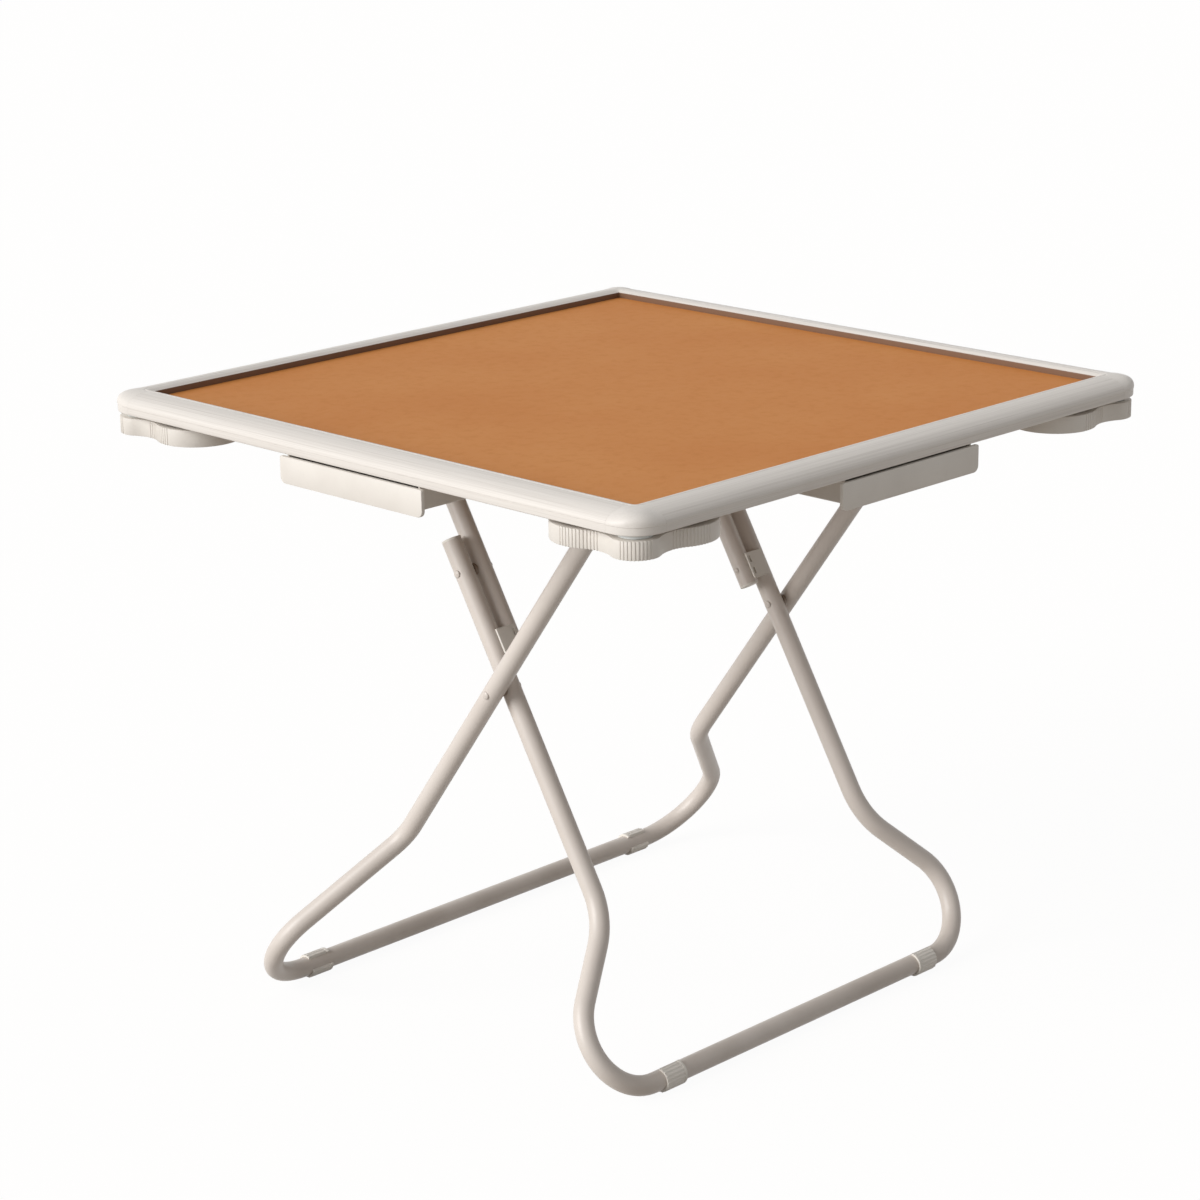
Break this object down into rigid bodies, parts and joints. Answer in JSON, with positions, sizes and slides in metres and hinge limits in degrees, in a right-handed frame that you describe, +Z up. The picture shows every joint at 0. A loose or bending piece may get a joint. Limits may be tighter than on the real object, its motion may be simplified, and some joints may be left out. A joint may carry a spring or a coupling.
{
  "type": "folding card table",
  "caption": "Square folding card table with a raised rim, under-top drawers, swing-out cup trays at the corners and crossed legs of bent tube that fold flat.",
  "frame": {"origin": "on the floor below the middle of the square top", "axes": "+Z up; the top's sides lie along X and Y; the front frame's feet are towards -Y and the legs fold up towards +Y"},
  "size_m": [0.884, 0.884, 0.755],
  "materials": {
    "top_sheet": "matt fine-grained covering",
    "board": "plain pressed board",
    "rim": "extruded, faint lengthwise streaks",
    "cap": "moulded satin",
    "tray": "moulded satin",
    "drawer": "moulded satin",
    "housing": "moulded satin",
    "clip": "moulded satin",
    "spacer": "moulded satin",
    "plug": "moulded satin",
    "tube": "cream powder coat",
    "strap": "cream powder coat",
    "rivet": "cream powder coat",
    "screw": "zinc plated"
  },
  "bodies": {
    "table": {"corner_cap_front_left": "cap", "corner_cap_front_right": "cap", "corner_cap_rear_left": "cap", "corner_cap_rear_right": "cap", "drawer_housing_front": "housing", "drawer_housing_left": "housing", "drawer_housing_rear": "housing", "drawer_housing_right": "housing", "housing_screws": "screw", "playing_surface": "top_sheet", "rim_rail_front": "rim", "rim_rail_left": "rim", "rim_rail_rear": "rim", "rim_rail_right": "rim", "saddle_block_front_left": "clip", "saddle_block_front_right": "clip", "saddle_block_rear_left": "clip", "saddle_block_rear_right": "clip", "saddle_screws": "screw", "saddle_straps": "strap", "top_board": "board", "tray_pivot_screws": "screw", "tray_spacers": "spacer"},
    "rear_legs": {"crossing_rivets": "rivet", "crossing_spacers": "spacer", "rear_foot_clip_left": "clip", "rear_foot_clip_right": "clip", "rear_leg_frame": "tube"},
    "front_legs": {"front_foot_clip_left": "clip", "front_foot_clip_right": "clip", "front_frame_plugs": "plug", "front_leg_frame": "tube", "link_rivets": "rivet", "link_spacers": "spacer"},
    "upper_link": {"link_studs": "rivet", "lock_clip_left": "clip", "lock_clip_right": "clip", "lock_clip_screws": "screw", "upper_frame": "tube", "upper_frame_plugs": "plug"},
    "drawer_front_body": {"drawer_front": "drawer"},
    "drawer_right_body": {"drawer_right": "drawer"},
    "drawer_rear_body": {"drawer_rear": "drawer"},
    "drawer_left_body": {"drawer_left": "drawer"},
    "tray_front_left_body": {"cup_tray_front_left": "tray"},
    "tray_front_right_body": {"cup_tray_front_right": "tray"},
    "tray_rear_left_body": {"cup_tray_rear_left": "tray"},
    "tray_rear_right_body": {"cup_tray_rear_right": "tray"}
  },
  "joints": [
    {"name": "leg_fold", "type": "hinge", "parent": "table", "child": "rear_legs", "pos_m": [0, -0.2317, 0.705], "axis": [1, 0, 0], "range_deg": [0, 50.67]},
    {"name": "leg_crossing", "type": "hinge", "parent": "rear_legs", "child": "front_legs", "pos_m": [0, -0.0319, 0.4333], "axis": [1, 0, 0], "range_deg": [0, 64.98]},
    {"name": "upper_link_fold", "type": "hinge", "parent": "table", "child": "upper_link", "pos_m": [0, 0.1283, 0.705], "axis": [1, 0, 0], "range_deg": [-57.8, 0]},
    {"name": "drawer_front_slide", "type": "slide", "parent": "table", "child": "drawer_front_body", "axis": [0, -1, 0], "range_m": [0, 0.1]},
    {"name": "drawer_right_slide", "type": "slide", "parent": "table", "child": "drawer_right_body", "axis": [1, 0, 0], "range_m": [0, 0.1]},
    {"name": "drawer_rear_slide", "type": "slide", "parent": "table", "child": "drawer_rear_body", "axis": [0, 1, 0], "range_m": [0, 0.1]},
    {"name": "drawer_left_slide", "type": "slide", "parent": "table", "child": "drawer_left_body", "axis": [-1, 0, 0], "range_m": [0, 0.1]},
    {"name": "tray_front_left_swivel", "type": "hinge", "parent": "table", "child": "tray_front_left_body", "pos_m": [-0.41, -0.41, 0.71425], "axis": [0, 0, 1], "range_deg": [0, 180]},
    {"name": "tray_front_right_swivel", "type": "hinge", "parent": "table", "child": "tray_front_right_body", "pos_m": [0.41, -0.41, 0.71425], "axis": [0, 0, 1], "range_deg": [-180, 0]},
    {"name": "tray_rear_left_swivel", "type": "hinge", "parent": "table", "child": "tray_rear_left_body", "pos_m": [-0.41, 0.41, 0.71425], "axis": [0, 0, 1], "range_deg": [-180, 0]},
    {"name": "tray_rear_right_swivel", "type": "hinge", "parent": "table", "child": "tray_rear_right_body", "pos_m": [0.41, 0.41, 0.71425], "axis": [0, 0, 1], "range_deg": [0, 180]}
  ],
  "couplings": [
    {"joint": "leg_crossing", "follows": "leg_fold", "ratio": 1.2815},
    {"joint": "upper_link_fold", "follows": "leg_fold", "ratio": -1.1397}
  ]
}
